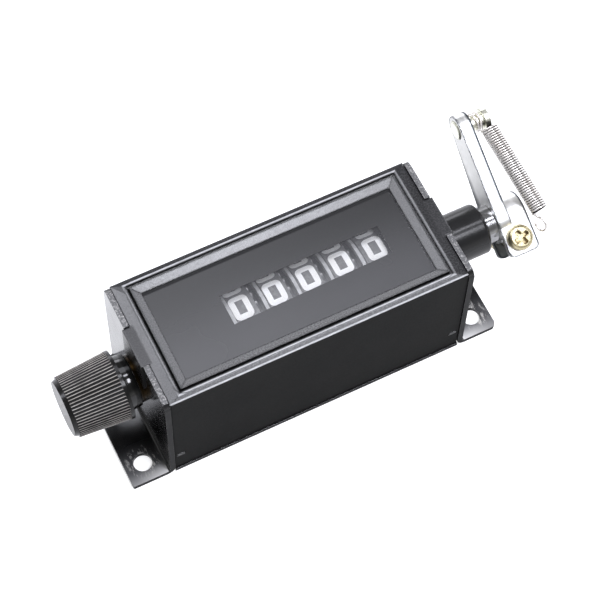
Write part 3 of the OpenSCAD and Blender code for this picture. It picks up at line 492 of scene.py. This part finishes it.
def lever_lines(g):
    """1 where dark shade is painted: along the edges of the lever's arm and clamp and below the clamp, 0
    on its outer side.
    """
    x, y = g.axis("X"), g.axis("Y")
    up = g.math("SUBTRACT", g.axis("Z"), SHAFT_Z * MM)
    c, s = cos(LEVER_ANGLE), sin(LEVER_ANGLE)
    rise = g.math("SUBTRACT", g.times(up, c), g.times(y, s))
    reach = g.math("ADD", g.times(y, c), g.times(up, s))
    arm_edge = g.times(g.between_mm(reach, ARM_LINE_FROM, ARM_LINE_FULL),
                       g.between_mm(x, ARM_SIDE - 0.75, ARM_SIDE - 0.15),
                       g.between_mm(x, ARM_SIDE, ARM_SIDE + 0.05, 1.0, 0.0))
    clamp_edge = g.between_mm(x, CLAMP_SIDE - 0.5, CLAMP_SIDE - 0.1)
    below = g.between_mm(rise, BELOW_CLAMP_FULL, BELOW_CLAMP_FROM, 0.85, 0.0)
    lines = g.math("MAXIMUM", g.math("MAXIMUM", arm_edge, clamp_edge), below)
    return g.times(lines, g.between(g.facing("X"), 0.3, 0.7, 1.0, 0.0))


def steel(name, colour, low, high, grain=(0.05, 1.0, 1.0), stain=0.15, round_edges=0.15,
          hollows=None, rim_shade=None, shaded=None):
    """Plated or ground steel: grain along the part, cloudy stains and softened edges. It may have painted
    shade in its hollows (depth in mm, colour), painted dark edges, and the lever's painted shade on
    borders and lines."""
    g = Graph(name)
    lines = g.noise(2400, 3, 0.6, g.stretched(grain))
    cloud = g.times(g.between(g.noise(210, 4, 0.6), 0.42, 0.72), stain)
    face = g.mix(cloud, colour, tuple(c * 0.45 for c in colour[:3]) + (1.0,))
    metal = 1.0
    if shaded:
        # Painted shade: a soft mid-grey band along the lever's edges, and the dark lines over it
        painted_shading = g.times(g.edges(1.3, 0.005, 0.2), 0.75)
        face = g.mix(painted_shading, face, grey(0.30, (0.94, 1.0, 1.05)))
        face = g.mix(lever_lines(g), face, shaded)
    # Painted shade: darker edges
    if rim_shade:
        face = g.mix(g.edges(2 * round_edges, 0.008, 0.09), face, rim_shade)
    if hollows:
        # Painted shade deep in the piece's own hollows, where the metal gives way to a dull colour
        depth, hollow_shade_colour = hollows
        deep = g.hollow(depth)
        face = g.mix(deep, face, hollow_shade_colour)
        metal = g.math("SUBTRACT", 1.0, g.times(deep, 0.9))
    g.set(Base_Color=face, Metallic=metal, Roughness=g.spread(lines, low, high),
          Normal=g.bump(lines, 0.004, 0.5, g.rounded(round_edges)))
    return g.material


def spring_wire(start, axis):
    """Nickelled wire, bright on the outside of the coils, with brown painted shade between them."""
    g = Graph("spring_wire")
    away = g.vectors("SUBTRACT", g.place, start)["Vector"]
    across = g.vectors("CROSS_PRODUCT", away, axis)["Vector"]
    out = g.vectors("LENGTH", across, (0.0, 0.0, 0.0))["Value"]
    along = g.vectors("DOT_PRODUCT", away, axis)["Value"]
    crest_r = (COIL_D + WIRE_D) / 2
    sunken = g.between_mm(out, crest_r - 0.12, crest_r - 0.05, 1.0, 0.0)
    coiled = g.times(g.between_mm(along, -0.3, 0.0),
                     g.between_mm(along, SPRING_L, SPRING_L + 0.3, 1.0, 0.0))
    stain = g.between(g.noise(300, 3), 0.35, 0.7)
    bright = g.mix(stain, grey(0.90, (1, 0.97, 0.94)), grey(0.80, (1, 0.94, 0.89)))
    # Painted shade: dark brown in the grooves between the coils
    g.set(Base_Color=g.mix(g.times(coiled, sunken), bright, grey(0.025, (1, 0.7, 0.55))),
          Metallic=0.7, Roughness=g.spread(g.noise(2400, 3), 0.24, 0.32))
    return g.material


# Finishes of the record's material slots, and the digits' own
FINISHES = {
    "black_paint": black_enamel("black_enamel", 0.0),
    "cover_black": cover_plastic("cover_plastic", 0.55),
    "clear_panel": clear_panel(),
    "mask_print": mask_print(),
    "brass": brass(),
    "boss_black": turned_black("boss_black", 0.20, 0.24, 0.35, 0.010),
    "knob_black": knob_plastic(),
    "collar_polish": turned_black("collar_polish", 0.10, 0.13, 0.5, 0.003),
    "wheel_black": wheel_plastic(),
    "gear_white": white_print("gear_white", 0.78),
    "bright_steel": steel("bright_steel", grey(0.58, (1, 1.01, 1.03)), 0.22, 0.36),
    "bright_zinc": steel("bright_zinc", grey(0.72, (1.0, 1.0, 0.98)), 0.32, 0.42,
                         grain=(1.0, 0.15, 0.15), stain=0.12, round_edges=0.35,
                         rim_shade=grey(0.045, (0.8, 0.95, 1.2)), shaded=grey(0.05, (0.8, 0.95, 1.15))),
    "yellow_zinc": steel("yellow_zinc", (0.62, 0.55, 0.35, 1.0), 0.24, 0.36,
                         grain=(1.0, 1.0, 0.2), stain=0.3,
                         hollows=(0.8, (0.34, 0.25, 0.11, 1.0)), rim_shade=grey(0.12, (1, 0.85, 0.5))),
    "spring_nickel": steel("spring_nickel", grey(0.60, (1, 0.96, 0.91)), 0.18, 0.28,
                           grain=(1, 1, 1), stain=0.2, round_edges=0.05),
    "digit_white": white_print("digit_white", 0.98),
}


def split_faces(node, material, chosen):
    """Gives the chosen faces of a node a finish of their own."""
    mesh = NODES[node].data
    mesh.materials.append(material)
    for face in mesh.polygons:
        if chosen(face):
            face.material_index = len(mesh.materials) - 1


def finish_cad_nodes():
    for part in frame["record"]["subparts"]:
        mesh = NODES[part["node"]].data
        mesh.materials.clear()
        mesh.materials.append(FINISHES[part["material_slot"]])
    NODES["spring_stud"].data.materials[0] = steel(
        "stud_zinc", (0.90, 0.90, 0.78, 1.0), 0.26, 0.36, grain=(1.0, 1.0, 1.0), stain=0.2,
        round_edges=0.2, rim_shade=grey(0.34, (1, 1, 0.82)))
    NODES["lever_washer"].data.materials[0] = steel(
        "washer_steel", grey(0.34, (1, 1, 1.02)), 0.14, 0.20, grain=(1.0, 0.05, 0.05), stain=0.4,
        round_edges=0.2, rim_shade=grey(0.08))
    gloss = black_enamel("gloss_enamel", 0.8)
    split_faces("left_end_bracket", gloss, lambda face: face.normal.x < -0.9)
    split_faces("right_end_bracket", gloss, lambda face: face.normal.x > 0.9)
    split_faces("cover", cover_plastic("cover_side", 0.25), lambda face: abs(face.normal.y) > 0.8)
    split_faces("cover", cover_plastic("cover_far_shoulder", 0.25), on_far_shoulder)
    split_faces("cover", groove_shade(), in_groove)


# Geometry

def add_mesh(name, points, faces, material, body, smooth=True):
    """A piece from points in mm that rides on a body."""
    mesh = bpy.data.meshes.new(name)
    mesh.from_pydata([Vector(p) * MM for p in points], [], faces)
    mesh.update()
    mesh.polygons.foreach_set("use_smooth", [smooth] * len(mesh.polygons))
    mesh.materials.append(material)
    piece = bpy.data.objects.new(name, mesh)
    bpy.context.scene.collection.objects.link(piece)
    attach(piece, body)
    return piece


def collar_ring():
    """Polished collar behind the knob: a slightly tapered ring with eased edges."""
    ease = COLLAR_EASE
    near_r, wall_r = COLLAR_R - ease, COLLAR_R - COLLAR_TAPER - ease
    arc = [radians(90 * k / EASE_STEPS) for k in range(EASE_STEPS + 1)]
    profile = [(COLLAR_BORE_R, COLLAR_FROM)]
    profile += [(near_r + ease * sin(a), COLLAR_FROM + ease - ease * cos(a)) for a in arc]
    profile += [(wall_r + ease * cos(a), COLLAR_TO - ease + ease * sin(a)) for a in arc]
    profile.append((COLLAR_BORE_R, COLLAR_TO))
    points, faces = [], []
    count = len(profile)
    for k in range(COLLAR_SIDES):
        a = 2 * pi * k / COLLAR_SIDES
        points += [(x, r * sin(a), SHAFT_Z + r * cos(a)) for r, x in profile]
    for k in range(COLLAR_SIDES):
        here, there = k * count, (k + 1) % COLLAR_SIDES * count
        for i in range(count):
            j = (i + 1) % count
            faces.append((here + i, here + j, there + j, there + i))
    piece = add_mesh("collar_ring", points, faces, FINISHES["collar_polish"],
                     "reset_assembly")
    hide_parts("knob_collar")


def field_print():
    """Printed sheet with its digit window."""
    outer = [(x * PRINT_L / 2, y * PRINT_W / 2) for x, y in ((-1, -1), (1, -1), (1, 1), (-1, 1))]
    points = [(*p, z) for z in (PRINT_TOP - PRINT_T, PRINT_TOP) for p in (*outer, *WINDOW)]
    faces = []
    for i in range(4):
        j = (i + 1) % 4
        faces += [(i + 8, j + 8, j + 12, i + 12), (j, i, i + 4, j + 4), (i, j, j + 8, i + 8),
                  (j + 4, i + 4, i + 12, j + 12)]
    piece = add_mesh("field_print", points, faces, FINISHES["mask_print"],
                     "housing", smooth=False)
    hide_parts("dial_mask")


def lever_point(x, y, z):
    """A point of the lever's own plane in the part's frame."""
    return Vector((x, y * cos(LEVER_ANGLE) - z * sin(LEVER_ANGLE),
                   SHAFT_Z + y * sin(LEVER_ANGLE) + z * cos(LEVER_ANGLE)))


def tube(path, radius, sides):
    """Points and faces of a closed round tube along a path."""
    count = len(path)
    tangents = [(path[min(i + 1, count - 1)] - path[max(i - 1, 0)]).normalized() for i in range(count)]
    normal = tangents[0].orthogonal().normalized()
    points, faces = [], []
    for i in range(count):
        normal = (normal - normal.dot(tangents[i]) * tangents[i]).normalized()
        side = tangents[i].cross(normal)
        for k in range(sides):
            a = 2 * pi * k / sides
            points.append(path[i] + radius * (cos(a) * normal + sin(a) * side))
    for i in range(count - 1):
        for k in range(sides):
            a, b = i * sides + k, i * sides + (k + 1) % sides
            faces.append((a, b, b + sides, a + sides))
    faces.append(tuple(reversed(range(sides))))
    faces.append(tuple(range((count - 1) * sides, count * sides)))
    return points, faces


def bend(a, da, b, db, steps):
    """Points of the cubic curve from a to b that leaves along da and arrives along db."""
    out = []
    for i in range(1, steps):
        s = i / steps
        q = 1 - s
        out.append(q ** 3 * a + 3 * q * q * s * (a + da) + 3 * q * s * s * (b - db) + s ** 3 * b)
    return out


def link_spring():
    """Close-wound extension spring: hook wraps round the stud's neck, the coils, an open side loop."""
    axis = Vector((cos(LINK_LIFT) * sin(LINK_SKEW), -cos(LINK_LIFT) * cos(LINK_SKEW), sin(LINK_LIFT)))
    side = (Vector((1, 0, 0)) - axis.x * axis).normalized()
    up = axis.cross(side)
    hook_x = STUD.x + NECK_L - WIRE_D - HOOK_GAP
    hook_r = NECK_R + WIRE_D / 2 + HOOK_PLAY
    start = Vector((hook_x + COIL_FROM_HOOK[0], STUD.y + COIL_FROM_HOOK[1], STUD.z + COIL_FROM_HOOK[2]))
    end = start + SPRING_L * axis
    loop_side = cos(LOOP_TURN) * side + sin(LOOP_TURN) * up
    loop_middle = end + LOOP_AHEAD * axis - LOOP_ASIDE * side

    def hook(turn):
        a = HOOK_END - 2 * pi * (HOOK_WRAPS - turn)
        return Vector((hook_x - WRAP_STEP * (HOOK_WRAPS - turn),
                       STUD.y + hook_r * cos(a), STUD.z + hook_r * sin(a)))

    def coil(turn):
        a = 2 * pi * turn
        return start + SPRING_L * turn / COILS * axis + COIL_D / 2 * (-cos(a) * side + sin(a) * up)

    def loop(a):
        return loop_middle + LOOP_R * (cos(a) * loop_side + sin(a) * axis)

    leave_hook = Vector((0, -sin(HOOK_END), cos(HOOK_END)))
    enter_loop = -sin(LOOP_START) * loop_side + cos(LOOP_START) * axis
    path = [hook(HOOK_WRAPS * i / HOOK_STEPS) for i in range(HOOK_STEPS + 1)]
    path += bend(hook(HOOK_WRAPS), HOOK_BEND * leave_hook, coil(0), HOOK_BEND * up, HOOK_BEND_STEPS)
    path += [coil(i / COIL_STEPS) for i in range(COIL_STEPS * COILS + 1)]
    path += bend(coil(COILS), LOOP_BEND * up, loop(LOOP_START), LOOP_BEND * enter_loop, LOOP_BEND_STEPS)
    path += [loop(LOOP_START + LOOP_SWEEP * i / LOOP_STEPS) for i in range(LOOP_STEPS + 1)]
    points, faces = tube([lever_point(*p) for p in path], WIRE_D / 2, WIRE_SIDES)
    coil_start, coil_end = lever_point(*start), lever_point(*end)
    wire = spring_wire(coil_start * MM, (coil_end - coil_start).normalized())
    piece = add_mesh("wound_spring", points, faces, wire, "hooked_spring")
    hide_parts("link_spring")


# Digits are strokes on a grid of half widths (-1 to 1) and half heights (-1 to 1); a loop is closed
DIGIT_LINES = {
    0: [("loop", [(-1, -1), (1, -1), (1, 1), (-1, 1)])],
    1: [("line", [(-0.55, 0.62), (0.05, 1), (0.05, -1)])],
    2: [("line", [(-1, 0.45), (-1, 1), (1, 1), (1, 0.1), (-1, -1), (1, -1)])],
    3: [("line", [(-1, 0.55), (-1, 1), (1, 1), (1, -1), (-1, -1), (-1, -0.55)]),
        ("line", [(-0.35, 0.05), (1, 0.05)])],
    4: [("line", [(0.45, -1), (0.45, 1), (-1, -0.35), (1, -0.35)])],
    5: [("line", [(1, 1), (-1, 1), (-1, 0.12), (1, 0.12), (1, -1), (-1, -1), (-1, -0.6)])],
    6: [("line", [(1, 0.6), (1, 1), (-1, 1), (-1, -1), (1, -1), (1, 0.1), (-1, 0.1)])],
    7: [("line", [(-1, 0.55), (-1, 1), (1, 1), (-0.1, -1)])],
    8: [("loop", [(-1, -1), (1, -1), (1, 1), (-1, 1)]),
        ("line", [(-1, 0.05), (1, 0.05)])],
    9: [("line", [(-1, -0.6), (-1, -1), (1, -1), (1, 1), (-1, 1), (-1, -0.05), (1, -0.05)])],
}


def rounded_line(corners, closed, radius=0.65, steps=5, most=0.45):
    """The corners' line in mm with its bends rounded, over at most a share of each leg."""
    half_w, half_h = (DIGIT_W - STROKE) / 2, (DIGIT_H - STROKE) / 2
    pts = [Vector((x * half_w, y * half_h)) for x, y in corners]
    out = []
    count = len(pts)
    for i, p in enumerate(pts):
        if not closed and i in (0, count - 1):
            out.append(p)
            continue
        a, b = pts[i - 1] - p, pts[(i + 1) % count] - p
        cut = min(radius, a.length * most, b.length * most)
        first, last = p + a.normalized() * cut, p + b.normalized() * cut
        for k in range(steps + 1):
            s = k / steps
            out.append((1 - s) ** 2 * first + 2 * s * (1 - s) * p + s * s * last)
    return out


def finely(line, closed, step=0.35, slack=0.001):
    """The same line with more points, so that it bends round the wheel."""
    out = []
    count = len(line)
    for i in range(count if closed else count - 1):
        a, b = line[i], line[(i + 1) % count]
        parts = max(1, ceil((b - a).length / step - slack))
        out += [a + (b - a) * k / parts for k in range(parts)]
    return out if closed else out + [line[-1]]


def ribbon(line, closed):
    """A flat band of the stroke's width along a line, as points and quads."""
    count = len(line)
    points, faces = [], []
    for i, p in enumerate(line):
        before = line[i - 1] if closed or i > 0 else p
        after = line[(i + 1) % count] if closed or i < count - 1 else p
        d = (after - before).normalized()
        n = Vector((-d.y, d.x)) * STROKE / 2
        points += [p + n, p - n]
    for i in range(count if closed else count - 1):
        a, b = 2 * i, 2 * ((i + 1) % count)
        faces.append((a, a + 1, b + 1, b))
    return points, faces


def number_digits(wheel):
    """All ten digits of a wheel, 0 on top and the rising ones towards the near side."""
    points, faces = [], []
    x_mid = WHEEL_X[wheel] + DIGIT_SHIFTS[wheel]
    r = WHEEL_R + DIGIT_PROUD
    for value, lines in DIGIT_LINES.items():
        for kind, corners in lines:
            closed = kind == "loop"
            flat, quads = ribbon(finely(rounded_line(corners, closed), closed), closed)
            base = len(points)
            for p in flat:
                a = p.y / WHEEL_R - value * DIGIT_STEP + DIGIT_TURNS[wheel]
                points.append((x_mid + p.x, r * sin(a), SHAFT_Z + r * cos(a)))
            faces += [tuple(base + k for k in q) for q in quads]
    body = "units_wheel" if wheel == 4 else "wheel_%d" % (wheel + 1)
    add_mesh("digits_%d" % (wheel + 1), points, faces, FINISHES["digit_white"], body)


# Stage

def make_camera():
    data = bpy.data.cameras.new("camera")
    data.sensor_fit = "HORIZONTAL"
    data.sensor_width = SENSOR_MM
    data.lens = SENSOR_MM * FOCAL_PX / IMAGE_PX
    data.clip_start = 0.01
    camera = bpy.data.objects.new("camera", data)
    axes = Matrix((RIGHT, -DOWN, -FORWARD)).transposed().to_4x4()
    camera.matrix_world = Matrix.Translation(CAMERA_AT) @ axes
    bpy.context.scene.collection.objects.link(camera)
    bpy.context.scene.camera = camera


def seen(tree):
    """1 for rays that show the background: from the camera, off gloss and through glass."""
    path = tree.nodes.new("ShaderNodeLightPath")
    total = path.outputs["Is Camera Ray"]
    for name in ("Is Glossy Ray", "Is Transmission Ray"):
        node = tree.nodes.new("ShaderNodeMath")
        node.operation = "MAXIMUM"
        tree.links.new(total, node.inputs[0])
        tree.links.new(path.outputs[name], node.inputs[1])
        total = node.outputs[0]
    return total


def make_world():
    """A white horizon under a dim ceiling; other light than the seen kind is a low, even fill."""
    world = bpy.data.worlds.new("studio")
    world.use_nodes = True
    tree = world.node_tree
    back = tree.nodes["Background"]
    back.inputs["Color"].default_value = (1, 1, 1, 1)
    split = tree.nodes.new("ShaderNodeSeparateXYZ")
    tree.links.new(tree.nodes.new("ShaderNodeTexCoord").outputs["Generated"], split.inputs[0])
    ceiling = tree.nodes.new("ShaderNodeMapRange")
    ceiling.interpolation_type = "SMOOTHSTEP"
    tree.links.new(split.outputs["Z"], ceiling.inputs["Value"])
    ceiling.inputs["From Min"].default_value = CEILING_FROM
    ceiling.inputs["From Max"].default_value = CEILING_TO
    ceiling.inputs["To Min"].default_value = 1.0
    ceiling.inputs["To Max"].default_value = CEILING
    level = tree.nodes.new("ShaderNodeMapRange")
    tree.links.new(seen(tree), level.inputs["Value"])
    level.inputs["To Min"].default_value = WORLD_FILL
    tree.links.new(ceiling.outputs["Result"], level.inputs["To Max"])
    tree.links.new(level.outputs["Result"], back.inputs["Strength"])
    bpy.context.scene.world = world


def make_floor():
    """White paper under the object, lifted to white where it is seen, and less where it is mirrored."""
    corners = [(x * FLOOR_HALF, y * FLOOR_HALF, 0) for x, y in ((-1, -1), (1, -1), (1, 1), (-1, 1))]
    mesh = bpy.data.meshes.new("floor")
    mesh.from_pydata(corners, [], [(0, 1, 2, 3)])
    floor = bpy.data.objects.new("floor", mesh)
    floor.location.z = -FLOOR_DROP
    bpy.context.scene.collection.objects.link(floor)
    g = Graph("floor_paper")
    path = g.add("ShaderNodeLightPath")
    mirrored = g.math("MAXIMUM", path.outputs["Is Glossy Ray"], path.outputs["Is Transmission Ray"])
    lift = g.math("ADD", g.times(path.outputs["Is Camera Ray"], FLOOR_LIFT),
                  g.times(mirrored, MIRROR_LIFT))
    g.set(Base_Color=grey(0.80), Roughness=0.9, Specular_IOR_Level=0.0, Emission_Color=grey(1.0),
          Emission_Strength=lift)
    mesh.materials.append(g.material)


def softbox(name, place, size, radiance, turn=(0.0, 0.0, 0.0)):
    """An area lamp that shines at the given radiance, straight down unless it is turned."""
    data = bpy.data.lights.new(name, "AREA")
    data.shape = "RECTANGLE"
    data.size, data.size_y = size
    data.energy = radiance * pi * size[0] * size[1]
    data.color = LAMP_TINT
    lamp = bpy.data.objects.new(name, data)
    lamp.location = place
    lamp.rotation_euler = turn
    bpy.context.scene.collection.objects.link(lamp)


def make_lights():
    softbox("front_right", (0.136, -0.285, LAMP_Z), (0.17, 0.20), 25.0)
    softbox("overhead", (0.13, 0.0, LAMP_Z), (0.24, 0.07), 16.0)
    softbox("far_left", (-0.319, 0.310, LAMP_Z), (0.543, 0.207), 8.6)
    softbox("far_right", (0.06, 0.295, LAMP_Z), (0.20, 0.295), 2.4)
    softbox("right_wall", (0.60, 0.28, 0.27), (0.26, 0.44), 5.0, (0.0, radians(90), 0.0))
    softbox("far_wall", (0.15, 0.65, 0.17), (0.70, 0.18), 3.4, (radians(-90), 0.0, 0.0))


make_camera()
make_world()
make_floor()
make_lights()
finish_cad_nodes()
collar_ring()
field_print()
link_spring()
for index in range(5):
    number_digits(index)

bpy.context.scene.view_settings.view_transform = "Standard"
